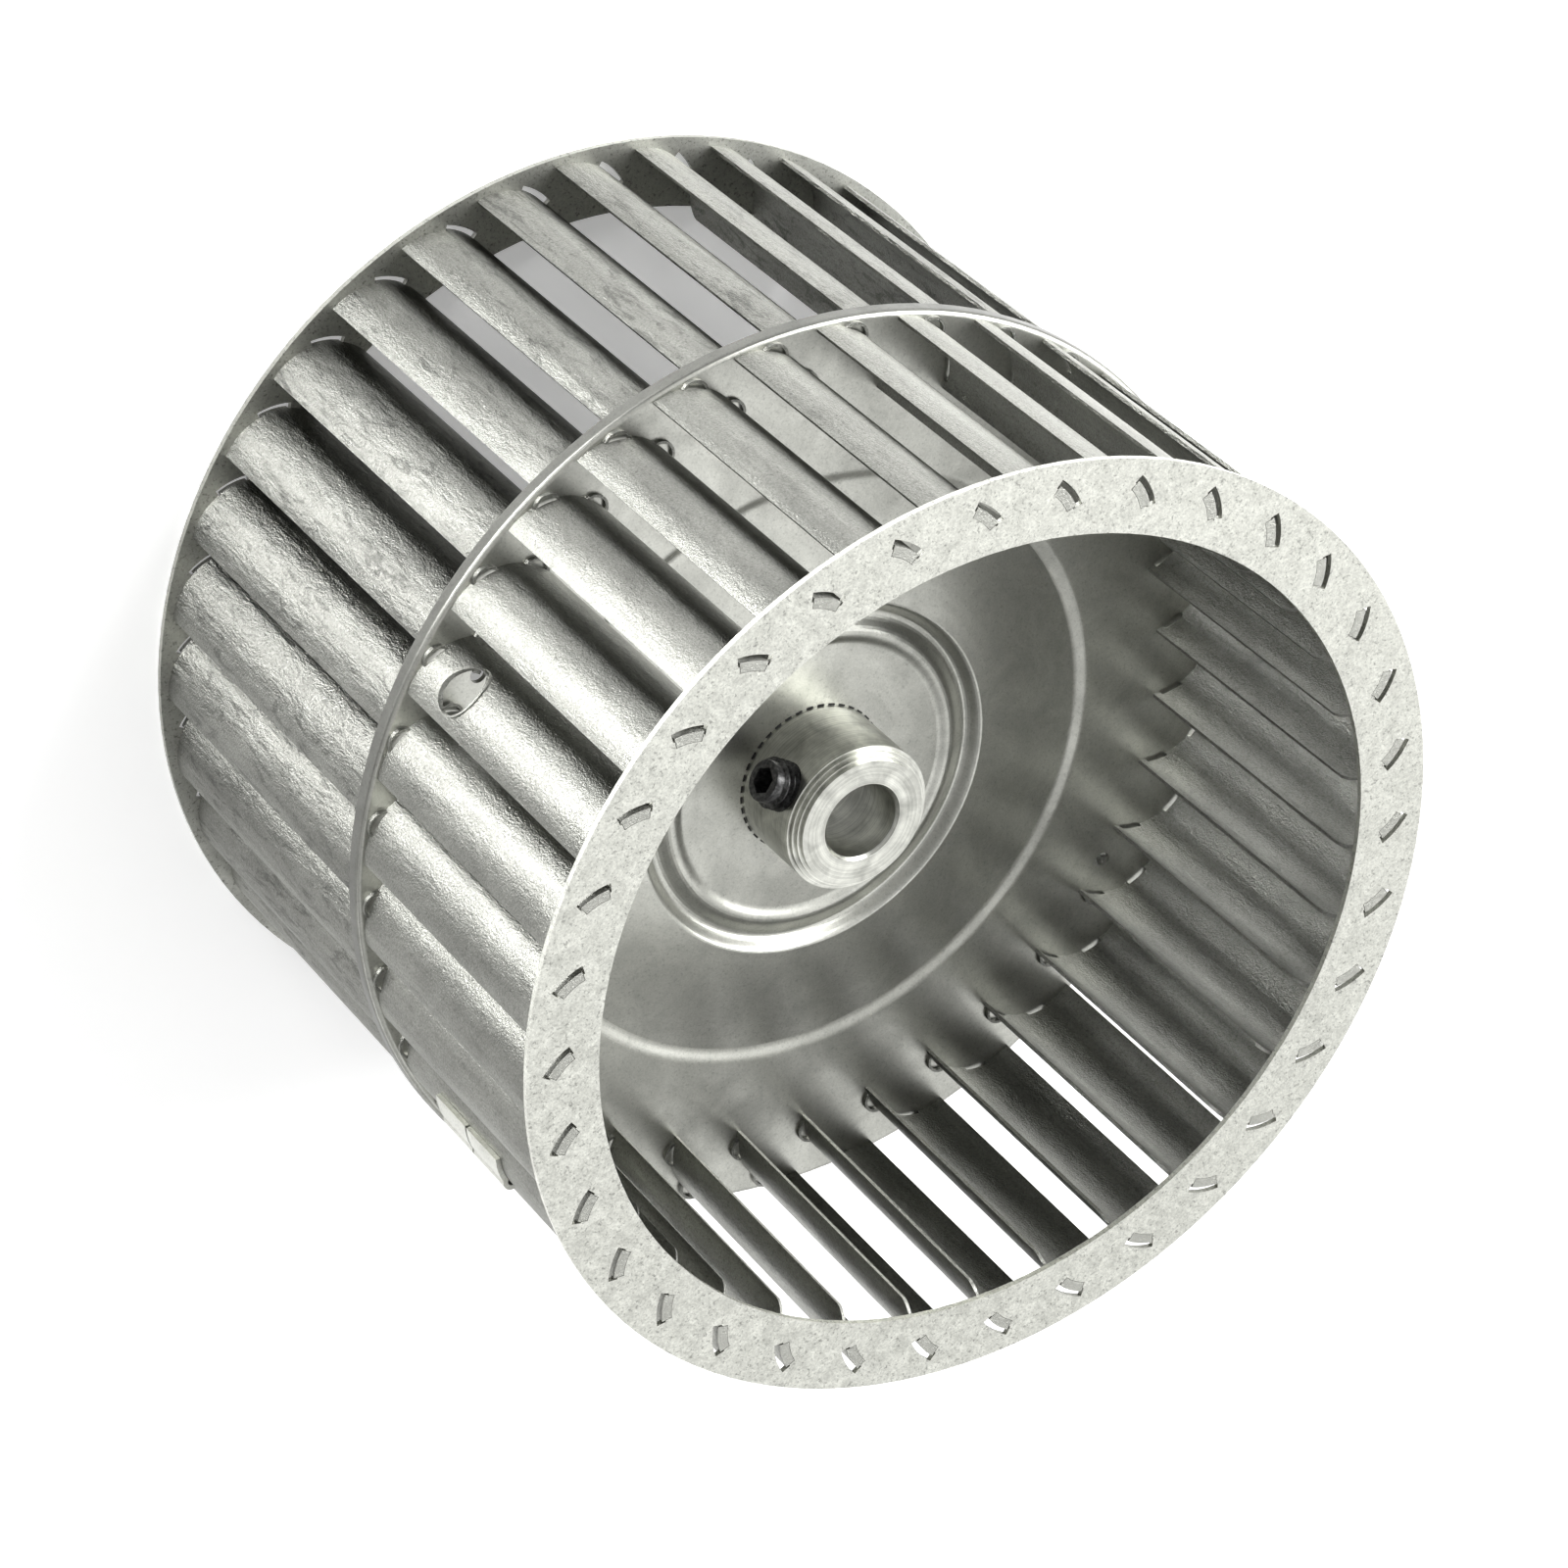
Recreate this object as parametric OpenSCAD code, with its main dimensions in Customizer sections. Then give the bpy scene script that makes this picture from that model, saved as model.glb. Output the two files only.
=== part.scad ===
// Double inlet centrifugal blower wheel in galvanised sheet steel.
// The wheel stands on its rear ring. The shaft axis is +Z and the hub side faces up.
// The set screw, its key hole and the two pilot holes lie in the plane y = 0.

/* [Wheel] */
// Outer diameter of both end rings
wheel_d = 160; // [150:1:200]
// Width over both end rings
wheel_w = 125; // [100:1:180]

/* [End rings] */
// Width of each ring from its outer edge to the inlet eye
ring_w = 12; // [10:0.1:18]
// Sheet thickness of the rings
ring_t = 0.9; // [0.7:0.1:1.6]

/* [Centre plate] */
// Sheet thickness of the centre plate
plate_t = 0.9; // [0.7:0.1:1.6]
// Distance from the front ring's outer face back to the plate
plate_setback = 55.1; // [40:0.1:66]
// How far the plate's edge lies inside the rings' edge
plate_inset = 0.5; // [0:0.1:1]
// Length of the lip that is turned back round the plate
lip_len = 2.6; // [1.8:0.1:4]
// Clearance between the lip and the rear blades
lip_play = 0.1; // [0.05:0.05:0.5]
// Diameter of the flat seat round the hub
seat_d = 46.8; // [40:0.1:48]
// Height of the seat above the plate's outer band
seat_rise = 1.5; // [0.5:0.1:4]
// Diameter of the narrow inner bead
inner_bead_d = 51; // [50:0.1:53]
// Height of the inner bead above the plate's outer band
inner_bead_rise = 2.1; // [1.5:0.1:4]
// Diameter of the groove between the beads
groove_d = 58; // [55:0.1:59]
// Height of the groove above the plate's outer band
groove_rise = 0.7; // [0.2:0.1:1.4]
// Diameter of the outer bead
outer_bead_d = 63; // [61:0.1:65]
// Height of the outer bead above the plate's outer band
outer_bead_rise = 2.4; // [1.5:0.1:4]
// Diameter of the low circle where the cone outside the bead ends
cone_d = 101.6; // [90:0.1:104]
// Depth of that circle below the outer band
cone_drop = 0.6; // [0.2:0.1:1.5]
// Diameter at which the plate has risen again to the outer band
band_d = 106.8; // [105:0.1:112]
// Diameter of the two pilot holes
pilot_d = 2.8; // [1.5:0.1:5]
// Distance from the rings' outer edge in to the centre of a pilot hole
pilot_setback = 12.2; // [11:0.1:16]

/* [Hub] */
// Outer diameter of the hub
hub_d = 25.4; // [24:0.1:32]
// Bore for the motor shaft
bore_d = 12.7; // [8:0.1:14]
// Length of the hub in front of the plate
hub_len = 15.6; // [13:0.1:30]
// Diameter of the hub's face, inside its turned steps
nose_d = 21.8; // [20:0.1:23]
// Length over all the turned steps
nose_len = 1.8; // [0.6:0.1:2]
// Number of turned steps
nose_steps = 3; // [1:1:4]
// Diameter of the hub's spigot in the plate
spigot_d = 19; // [17:0.1:20]
// Diameter of the collar riveted over behind the plate
collar_d = 23.4; // [22:0.1:26]
// Thickness of that collar
collar_t = 1.8; // [1:0.1:3]
// Chamfer at both mouths of the bore
bore_chamfer = 0.5; // [0.2:0.1:1]

/* [Set screw] */
// Thread diameter of the set screw
screw_d = 7.9; // [5:0.1:8]
// Length of the set screw
screw_len = 9.5; // [7:0.1:14]
// Distance from the hub's face back to the screw's axis
screw_setback = 6.6; // [6.2:0.1:9]
// How far the screw's point stops short of the bore
screw_gap = 0.8; // [0.4:0.1:3]
// Size of the hexagon socket across its flats
socket_af = 4; // [2.5:0.1:4.5]
// Depth of the socket
socket_depth = 4; // [2:0.1:5]
// Chamfer at both ends of the screw
screw_chamfer = 0.7; // [0.3:0.1:1]

/* [Blades] */
// Number of blades on each side of the plate
blade_count = 34; // [24:1:36]
// Sheet thickness of the blades
blade_t = 0.55; // [0.4:0.05:0.8]
// How far a blade's inner edge reaches into the eye
heel_reach = 1.2; // [0:0.1:3]
// Angle by which a blade's outer edge leads its inner edge
blade_wrap = 9.9; // [8:0.1:11]
// Depth of a blade's curve
blade_bow = 4.3; // [3.5:0.1:4.8]
// Radius of a blade's inner corner at the ring
heel_corner = 4; // [2:0.1:4.5]
// Angle of the first front blade's inner edge from the set screw
first_blade = -5.6; // [-6.5:0.1:-4.5]
// Diameter of the hole for the hexagon key in the first blade
key_hole_d = 7.8; // [4:0.1:8]
// Width of the raised rim round the key hole
key_rim_w = 0.35; // [0.2:0.05:0.8]
// Height of that rim above the blade
key_rim_h = 0.35; // [0.2:0.05:0.8]

/* [Ring tabs] */
// Width of a tab
tab_w = 4.9; // [3:0.1:6]
// Distance along the blade from its outer edge to the tab's centre
tab_at = 11; // [9:0.1:12]
// Length of the tab end folded over on the ring
fold_len = 1.1; // [0.6:0.1:1.5]
// Depth of the coined seat and thickness of the folded end
fold_t = 0.4; // [0.2:0.05:0.6]
// Clearance round a tab in its slot
tab_play = 0.06; // [0.02:0.01:0.15]
// Open width of a slot beside the tab, on the side where the blade bulges
slot_relief = 0.9; // [0:0.1:1.2]
// Open length of a slot at each end of the tab
slot_end = 0.35; // [0.1:0.05:0.6]

/* [Blade lances] */
// Width of the half round lances that stand on the plate
lance_w = 4.4; // [3:0.1:5]
// How far a lance stands out from the blade
lance_out = 1.4; // [0.8:0.1:1.8]
// Height of a lance above the plate
lance_h = 0.7; // [0.4:0.1:1.5]
// Sheet thickness of a lance
lance_t = 0.45; // [0.3:0.05:0.5]
// Distance along the blade from its outer edge to the outer lance
outer_lance_at = 7.2; // [6:0.1:8.5]
// Distance along the blade from its inner edge to the inner lance
inner_lance_at = 3.4; // [3:0.1:5]

/* [Balance clips] */
// Number of the front blade that carries the clips
clip_blade = 6; // [2:1:20]
// Length of one clip along the blade
clip_len = 9.6; // [5:0.1:12]
// Gap between the two clips
clip_gap = 0.4; // [0.3:0.1:2]
// Distance from the front ring's outer face to the first clip
clip_setback = 23.7; // [10:0.1:28]
// Sheet thickness of a clip
clip_t = 0.8; // [0.5:0.1:1]
// Outer diameter of the clip's round back
clip_back_d = 3.1; // [2.8:0.1:4]
// How far a clip stands out beyond the blade's outer edge
clip_stand = 1.8; // [1.6:0.1:3]
// How far a clip reaches over the blade from its outer edge
clip_reach = 5.2; // [3:0.1:6]
// Clearance between a clip and the blade
clip_play = 0.05; // [0.02:0.01:0.15]

/* [Hidden] */
$fn = 96;
// How far a cutting shape runs past what it cuts.
over = 1;
// How far a rounded corner's centre is shifted, so that its arc meets the edges at a slight angle.
corner_kink = 0.1;
// How much narrower a tab's folded end is on each side.
fold_inset = 0.05;
pitch = 360 / blade_count;

wheel_r = wheel_d / 2;
eye_r = wheel_r - ring_w;
plate_z = wheel_w - plate_setback;
plate_r = wheel_r - plate_inset;
seat_z = plate_z + seat_rise;
hub_face_z = seat_z + hub_len;
hub_back_z = seat_z - plate_t - collar_t;
screw_z = hub_face_z - screw_setback;
screw_in = bore_d / 2 + screw_gap;
thread_play = 0.1;
spigot_play = 0.05;

// A blade's section is an arc through its inner edge, at angle 0, and its outer edge.
tip_r = plate_r - plate_t - lip_play;
heel_r = eye_r - heel_reach;
tip_p = tip_r * [cos(blade_wrap), sin(blade_wrap)];
heel_p = heel_r * [1, 0];
chord_v = tip_p - heel_p;
chord = norm(chord_v);
bow_v = [chord_v.y, -chord_v.x] / chord;
curve_r = (chord * chord / 4 + blade_bow * blade_bow) / (2 * blade_bow);
curve_c = (tip_p + heel_p) / 2 + bow_v * (blade_bow - curve_r);
heel_a = atan2(heel_p.y - curve_c.y, heel_p.x - curve_c.x);
tip_a = atan2(tip_p.y - curve_c.y, tip_p.x - curve_c.x);

front_len = wheel_w - ring_t - plate_z;
rear_len = plate_z - plate_t - ring_t;

rear_groups = ceil(blade_count / 2);
function two_digits(i) = i < 10 ? str("0", i) : str(i);
function front_name(i) = str("front_blade_", two_digits(i));
function rear_name(i) = str("rear_blades_", two_digits(i));
function front_angle(i) = first_blade + (i - 1) * pitch;
function rear_angle(i) = front_angle(i) + pitch / 2;

// Angle about the curve's centre of a point at a distance along the blade from its outer edge.
function along(s) = tip_a - s / curve_r * 180 / PI;

single_nodes = ["front_ring", "rear_ring", "centre_plate", "hub", "set_screw",
    "balance_clip_1", "balance_clip_2"];

zinc = [0.78, 0.78, 0.76];
bright_zinc = [0.86, 0.86, 0.84];
turned_steel = [0.70, 0.70, 0.68];
black_oxide = [0.13, 0.13, 0.14];

// Part of a tube round the curve's centre, between two angles.
module curved_strip(r_in, r_out, a0, a1, z0, z1) {
    translate([curve_c.x, curve_c.y, z0])
        rotate([0, 0, a0])
            rotate_extrude(angle = a1 - a0)
                translate([r_in, 0])
                    square([r_out - r_in, z1 - z0]);
}

// Half the angle that a width along the blade takes up.
function half_angle(w) = w / 2 / curve_r * 180 / PI;

// What is cut from the sheet's end at the ring to leave a tab.
module beside_tab(z0, z1) {
    half = half_angle(tab_w);
    r_in = curve_r - blade_t - over;
    r_out = curve_r + over;
    curved_strip(r_in, r_out, heel_a - half_angle(2 * over), along(tab_at) - half, z0, z1);
    curved_strip(r_in, r_out, along(tab_at) + half, tip_a + half_angle(2 * over), z0, z1);
}

// Folded end of a tab. It lies on the hollow side of the blade.
module fold(z0, z1) {
    half = half_angle(tab_w - 2 * fold_inset);
    curved_strip(curve_r - blade_t - fold_len, curve_r - blade_t / 2,
        along(tab_at) - half, along(tab_at) + half, z0, z1);
}

// Slot for a tab, open beside the tab and at both its ends.
module tab_slot(z0, z1) {
    half = half_angle(tab_w + 2 * slot_end);
    curved_strip(curve_r - blade_t - tab_play, curve_r + tab_play + slot_relief,
        along(tab_at) - half, along(tab_at) + half, z0, z1);
}

// Coined seat for the folded end.
module fold_seat(z0, z1) {
    half = half_angle(tab_w + 2 * tab_play);
    curved_strip(curve_r - blade_t - fold_len - tab_play, curve_r - blade_t / 2,
        along(tab_at) - half, along(tab_at) + half, z0, z1);
}

// What rounds the inner corner of a blade that ends at z = 0 and lies above it.
// The round meets each edge at a slight angle, as a sheared corner does.
module heel_round() {
    centre = heel_corner - corner_kink;
    translate([curve_c.x, curve_c.y, 0])
        rotate([0, 0, heel_a])
            translate([curve_r - blade_t - over, 0, 0])
                difference() {
                    translate([0, -over, -over])
                        cube([blade_t + 2 * over, centre + over, centre + over]);
                    translate([-over, centre, centre])
                        rotate([0, 90, 0])
                            cylinder(r = heel_corner, h = blade_t + 4 * over);
                }
}

lance_r = (lance_w * lance_w / 4 + lance_out * lance_out) / (2 * lance_out);

// Upright cylinder on the circle of a lance's outer face, or inside it.
module lance_round(a, inset, z0, z1) {
    translate([curve_c.x, curve_c.y, z0])
        rotate([0, 0, a])
            translate([curve_r + lance_out - lance_r, 0, 0])
                cylinder(r = lance_r - inset, h = z1 - z0);
}

// Half round lance on the bulging side, with its foot on the plate at z = 0.
module lance(a) {
    difference() {
        lance_round(a, 0, 0, lance_h);
        translate([curve_c.x, curve_c.y, -over])
            cylinder(r = curve_r - blade_t / 2, h = lance_h + 2 * over);
    }
}

// One blade with its inner edge at angle 0, its plate end at z = 0 and its ring end at z = len.
module blade(len) {
    lances = [along(outer_lance_at), heel_a + 2 * half_angle(inner_lance_at)];
    difference() {
        union() {
            curved_strip(curve_r - blade_t, curve_r, heel_a, tip_a, 0, len + ring_t);
            fold(len + ring_t - fold_t, len + ring_t);
            for (a = lances)
                lance(a);
        }
        beside_tab(len, len + ring_t + over);
        translate([0, 0, len])
            mirror([0, 0, 1])
                heel_round();
        for (a = lances)
            lance_round(a, lance_t, -over, lance_h);
    }
}

// Raised rim that the punch leaves round the key hole in the first front blade.
module key_rim() {
    intersection() {
        key_way(key_hole_d + 2 * key_rim_w);
        rotate([0, 0, front_angle(1)])
            curved_strip(curve_r - blade_t / 2, curve_r + key_rim_h, heel_a, tip_a, plate_z, wheel_w);
    }
}

// Cylinder through the first front blade, in line with the set screw.
module key_way(d) {
    translate([heel_r - over, 0, screw_z])
        rotate([0, 90, 0])
            cylinder(d = d, h = wheel_r - heel_r + over);
}

module front_blade(i) {
    color(bright_zinc)
        difference() {
            union() {
                rotate([0, 0, front_angle(i)])
                    translate([0, 0, plate_z])
                        blade(front_len);
                if (i == 1) key_rim();
            }
            if (i == 1) key_way(key_hole_d);
        }
}

module rear_blade(i) {
    color(bright_zinc)
        rotate([0, 0, rear_angle(i)])
            translate([0, 0, plate_z - plate_t])
                mirror([0, 0, 1])
                    blade(rear_len);
}

// Flat ring with its slots and coined seats. Its outer face is at z = ring_t.
module end_ring(start) {
    difference() {
        cylinder(r = wheel_r, h = ring_t, $fn = 180);
        translate([0, 0, -over])
            cylinder(r = eye_r, h = ring_t + 2 * over, $fn = 180);
        for (i = [0:blade_count - 1])
            rotate([0, 0, start + i * pitch]) {
                tab_slot(-over, ring_t + over);
                fold_seat(ring_t - fold_t, ring_t + over);
            }
    }
}

module front_ring() {
    color(zinc)
        translate([0, 0, wheel_w - ring_t])
            end_ring(front_angle(1));
}

module rear_ring() {
    color(zinc)
        translate([0, 0, ring_t])
            mirror([0, 0, 1])
                end_ring(rear_angle(1));
}

// The pressed form from the hub outwards: radius, height above the plate's outer band, and how
// the next run is curved, from 0 for a straight cone to 1 for an even S.
press = [
    [seat_d / 2, seat_rise, 1],
    [inner_bead_d / 2, inner_bead_rise, 1],
    [groove_d / 2, groove_rise, 1],
    [outer_bead_d / 2, outer_bead_rise, 0.3],
    [cone_d / 2, -cone_drop, 1],
    [band_d / 2, 0, 0]
];
press_steps = 8;

press_line = [for (k = [0:len(press) - 2], j = [0:press_steps - 1])
    let (u = j / press_steps, a = press[k], b = press[k + 1], s = a[2])
    [a[0] + (b[0] - a[0]) * u,
        a[1] + (b[1] - a[1]) * ((1 - s) * u + s * (1 - cos(180 * u)) / 2)]];

module plate_profile() {
    face = concat([[spigot_d / 2 + spigot_play, seat_rise]], press_line, [[band_d / 2, 0]]);
    bend = [for (a = [90:-15:0])
        [plate_r - plate_t + plate_t * cos(a), plate_t * sin(a) - plate_t]];
    back = [for (k = [len(face) - 1:-1:0]) [face[k].x, face[k].y - plate_t]];
    polygon(concat(face, bend, [[plate_r, -lip_len], [plate_r - plate_t, -lip_len],
        [plate_r - plate_t, -plate_t]], back));
}

module centre_plate() {
    color(zinc)
        difference() {
            translate([0, 0, plate_z])
                rotate_extrude($fn = 180)
                    plate_profile();
            for (side = [-1, 1])
                translate([side * (wheel_r - pilot_setback), 0, plate_z - plate_t - over])
                    cylinder(d = pilot_d, h = plate_t + 2 * over);
        }
}

module hub() {
    nose_r = nose_d / 2;
    hub_r = hub_d / 2;
    bore_r = bore_d / 2;
    step_r = (hub_r - nose_r) / nose_steps;
    step_z = nose_len / nose_steps;
    nose = [for (k = [nose_steps:-1:1], low = [1, 0])
        [nose_r + (k - 1 + low) * step_r, hub_face_z - k * step_z]];
    color(turned_steel)
        difference() {
            rotate_extrude()
                polygon(concat([
                    [bore_r, hub_back_z + bore_chamfer],
                    [bore_r + bore_chamfer, hub_back_z],
                    [collar_d / 2, hub_back_z],
                    [collar_d / 2, seat_z - plate_t],
                    [spigot_d / 2, seat_z - plate_t],
                    [spigot_d / 2, seat_z],
                    [hub_r, seat_z]
                ], nose, [
                    [nose_r, hub_face_z],
                    [bore_r + bore_chamfer, hub_face_z],
                    [bore_r, hub_face_z - bore_chamfer]
                ]));
            translate([0, 0, screw_z])
                rotate([0, 90, 0])
                    cylinder(d = screw_d + 2 * thread_play, h = hub_d);
        }
}

module set_screw() {
    r = screw_d / 2;
    color(black_oxide)
        translate([screw_in, 0, screw_z])
            rotate([0, 90, 0])
                difference() {
                    rotate_extrude()
                        polygon([
                            [0, screw_chamfer],
                            [r - 2 * screw_chamfer, 0],
                            [r - screw_chamfer, 0],
                            [r, screw_chamfer],
                            [r, screw_len - screw_chamfer],
                            [r - screw_chamfer, screw_len],
                            [0, screw_len]
                        ]);
                    translate([0, 0, screw_len - socket_depth])
                        cylinder(d = socket_af / cos(30), h = socket_depth + over, $fn = 6);
                }
}

// Clip folded from sheet: a hollow round back, and two arms that grip the blade's outer edge.
module clip(z0) {
    mid_r = curve_r - blade_t / 2;
    slot_half = blade_t / 2 + clip_play;
    arm_a = along(clip_reach);
    back_a = along(clip_back_d / 2 - clip_stand);
    color(turned_steel)
        rotate([0, 0, front_angle(clip_blade)])
            difference() {
                union() {
                    curved_strip(mid_r - slot_half - clip_t, mid_r + slot_half + clip_t,
                        arm_a, tip_a, z0, z0 + clip_len);
                    clip_round(mid_r, back_a, clip_back_d / 2, z0, clip_len);
                }
                curved_strip(mid_r - slot_half, mid_r + slot_half,
                    arm_a - over, back_a, z0 - over, z0 + clip_len + over);
                clip_round(mid_r, back_a, clip_back_d / 2 - clip_t, z0 - over, clip_len + 2 * over);
            }
}

module clip_round(at_r, a, r, z0, h) {
    translate([curve_c.x, curve_c.y, z0])
        rotate([0, 0, a])
            translate([at_r, 0, 0])
                cylinder(r = r, h = h);
}

clip_z = wheel_w - clip_setback - clip_len;

front_ring();
rear_ring();
centre_plate();
hub();
set_screw();
clip(clip_z);  // balance_clip_1
clip(clip_z - clip_gap - clip_len);  // balance_clip_2
for (i = [1:blade_count])
    front_blade(i);
for (i = [1:rear_groups])
    union() {
        rear_blade(2 * i - 1);
        if (2 * i <= blade_count) rear_blade(2 * i);
    }
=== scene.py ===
"""Looks, added pieces and stage for a galvanised double inlet blower wheel, as a Blender add-on."""

import math

import bpy
from mathutils import Matrix, Vector


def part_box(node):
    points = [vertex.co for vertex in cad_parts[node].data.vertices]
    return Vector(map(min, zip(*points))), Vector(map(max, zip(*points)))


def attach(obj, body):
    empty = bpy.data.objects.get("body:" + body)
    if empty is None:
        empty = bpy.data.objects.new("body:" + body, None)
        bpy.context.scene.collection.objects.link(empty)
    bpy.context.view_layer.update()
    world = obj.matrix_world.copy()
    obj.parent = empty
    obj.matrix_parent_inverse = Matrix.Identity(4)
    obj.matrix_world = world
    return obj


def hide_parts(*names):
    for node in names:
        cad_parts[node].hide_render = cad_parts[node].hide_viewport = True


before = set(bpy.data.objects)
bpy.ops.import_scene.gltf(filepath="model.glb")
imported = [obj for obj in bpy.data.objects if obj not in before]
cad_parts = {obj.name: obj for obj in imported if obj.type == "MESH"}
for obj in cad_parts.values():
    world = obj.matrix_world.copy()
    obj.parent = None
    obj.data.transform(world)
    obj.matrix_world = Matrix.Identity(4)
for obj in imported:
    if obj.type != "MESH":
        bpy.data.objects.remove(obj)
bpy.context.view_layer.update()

bl_info = {
    "name": "Blower Wheel Looks",
    "version": (1, 0, 0),
    "blender": (4, 5, 0),
    "location": "View3D > Sidebar > Blower Wheel",
    "description": "Finishes, threads and stage for a galvanised centrifugal blower wheel",
    "category": "Object",
}

MM = 0.001
FLOAT = "NodeSocketFloat"
VECTOR = "NodeSocketVector"

# Bodies and nodes of the frame
WHEEL = "wheel"
SCREW = "screw"
SCREW_NODE = "set_screw"
HUB_NODE = "hub"
PLATE_NODE = "centre_plate"
FRONT_RING_NODE = "front_ring"
REAR_RING_NODE = "rear_ring"
CLIP_NODES = ("balance_clip_1", "balance_clip_2")

# Zinc: each noise has its coordinates, scale per metre, detail, roughness, distortion and row
ZINC_NOISES = (
    ("Tone", "stretched", 90.0, 6.0, 0.62, 0.8, 400),
    ("Crinkle", "stretched", 700.0, 4.0, 0.7, 0.2, 200),
    ("Wave", "stretched", 300.0, 4.0, 0.65, 0.25, 0),
    ("Grain", "plain", 2900.0, 2.0, 0.7, 0.0, -200),
    ("Specks", "plain", 1900.0, 2.0, 0.6, 0.4, -400),
    ("Streaks", "long", 700.0, 4.0, 0.65, 0.0, -600),
    ("Flecks", "stretched", 430.0, 6.0, 0.72, 1.4, 600),
)
# Part of its noise over which each mask goes from 0 to 1
ZINC_MASKS = {
    "Flecks": (0.53, 0.62),
    "Tone": (0.3, 0.7),
    "Grain": (0.3, 0.7),
    "Specks": (0.57, 0.7),
    "Streaks": (0.35, 0.65),
}
STREAK_STRETCH = (1.0, 1.0, 0.08)
# Share of blue that clean metal lacks
WARMTH = 0.08
# The lightest zinc as a share of the look's tone, and the roughness of dark and light zinc
LIGHT_SHARE = 1.12
ROUGH_SHARES = (1.2, 0.9)
# How far inside the rim its mask of painted shade starts and is full, and half the step of the mask
# that paints the tabs lighter
RIM_FADE = (0.35 * MM, 0.15 * MM)
FOLD_FADE = 0.02 * MM

# Looks of the zinc, without the tones and heights that the settings give
PLAIN_LOOK = {
    "cloud": 0.12,
    "grain": 0.22,
    "flecks": 0.0,
    "rim": 0.0,
    "folds": 0.0,
    "specks": 0.5,
    "streaks": 0.06,
    "height": 0.004 * MM,
    "wave": 1.0,
    "grit": 0.3,
    "rough": 0.34,
    "stretch": (1.0, 1.0, 1.0),
    "brushed": 0.0,
}
BLADE_LOOK = {
    **PLAIN_LOOK,
    "cloud": 0.2,
    "grain": 0.36,
    "flecks": 0.1,
    "specks": 0.3,
    "streaks": 0.16,
    "wave": 1.6,
    "grit": 1.2,
    "stretch": (1.0, 1.0, 0.4),
    "brushed": 0.95,
}
REAR_BLADE_LOOK = {
    **BLADE_LOOK,
    "cloud": 0.3,
    "wave": 3.6,
    "flecks": 0.4,
    "stretch": (1.0, 1.0, 0.28),
}
RING_LOOK = {
    **PLAIN_LOOK,
    "cloud": 0.2,
    "grain": 0.3,
    "specks": 0.45,
    "rough": 0.42,
    "stretch": (4.5, 4.5, 4.5),
}
REAR_RING_LOOK = {**PLAIN_LOOK, "cloud": 0.2, "rough": 0.45}
PLATE_LOOK = {
    **PLAIN_LOOK,
    "cloud": 0.2,
    "grain": 0.16,
    "specks": 0.2,
    "height": 0.008 * MM,
    "rough": 0.33,
    # Painted shade on the plate's lip, darker than the rest of the plate
    "rim": 0.66,
}
CLIP_LOOK = {**PLAIN_LOOK, "specks": 0.2}
# Tones as shares of the sheet's tone, painted light and shade: the same zinc is drawn lighter on
# the front ring and darker on the rear ring and the plate. The rear blades' crinkles are a share of
# the front ones'
RING_TONE = 1.18
REAR_RING_TONE = 0.7
PLATE_TONE = 0.85
REAR_CRINKLE = 1.3

# Set screw: its edge, its plain ends, and the ridge's triangle. The ridge's size along the screw
# and its lift are shares of the thread's depth, and its reach outwards is a share of the pitch.
# With these shares the crest stands 0.16 mm over the CAD screw, in the wall of the hub's hole.
SCREW_EDGE = 0.25 * MM
PLAIN_ENDS = 1.6 * MM
RIDGE_ALONG = 0.68
RIDGE_OUT = 0.5
RIDGE_LIFT = 0.25
STEPS_A_TURN = 48
SMOOTH_ANGLE = math.radians(28)

# Hub joint's painted shadow: height of the plate's seat, and the dark strips' place and thickness
SEAT_Z = 71.4 * MM
SHADOW_STRIP_Z = 0.02 * MM
SHADOW_STRIP_T = 0.08 * MM
SHADOW_STRIP_OUT = 0.6
SHADOW_STRIP_STEPS = 6

# Stage: lamps as name, azimuth, elevation, distance, size and the setting of their power
LAMPS = (
    ("front_softbox", -17.0, 2.5, 0.9, (0.55, 0.14), "front_power"),
    ("left_softbox", -120.0, 36.0, 0.9, (0.9, 0.5), "left_power"),
    ("right_softbox", 75.0, 2.5, 0.9, (0.9, 0.14), "right_power"),
    ("back_panel", 160.7, 48.0, 1.3, (1.5, 1.0), "back_power"),
)
LAMP_TARGET = (0, 0, 0.06)
FLOOR_Z = -0.05 * MM
SKY_PATCH = (-0.385, 0.133, 0.913)
SKY_PATCH_POWER = 6.0
CAMERA_RIGHT = (-0.72940, -0.45621, 0.50970)
CAMERA_UP = (0.21444, -0.86007, -0.46290)
CAMERA_PLACE = (0.55098, -0.18970, 0.68164)
CAMERA_SENSOR = 36.0
CAMERA_LENS = 122.43


# Settings


class SheetSettings(bpy.types.PropertyGroup):
    """Look of the galvanised sheet"""

    tone: bpy.props.FloatProperty(
        name="Tone", description="Brightness of clean zinc", default=0.68, min=0.2, max=0.95
    )
    # Painted shade: the blades get a darker tone than the same zinc on the rings and the plate
    blade_tone: bpy.props.FloatProperty(
        name="Blade Tone",
        description="Brightness of the blades' zinc",
        default=0.38,
        min=0.2,
        max=0.95,
    )
    crinkle: bpy.props.FloatProperty(
        name="Crinkle",
        description="Height of the fine crinkles in the blades' zinc",
        default=0.09 * MM,
        min=0.0,
        max=0.5 * MM,
        unit="LENGTH",
    )
    roughness: bpy.props.FloatProperty(
        name="Roughness",
        description="Roughness of the blades' zinc",
        default=0.36,
        min=0.05,
        max=1.0,
    )


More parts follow.
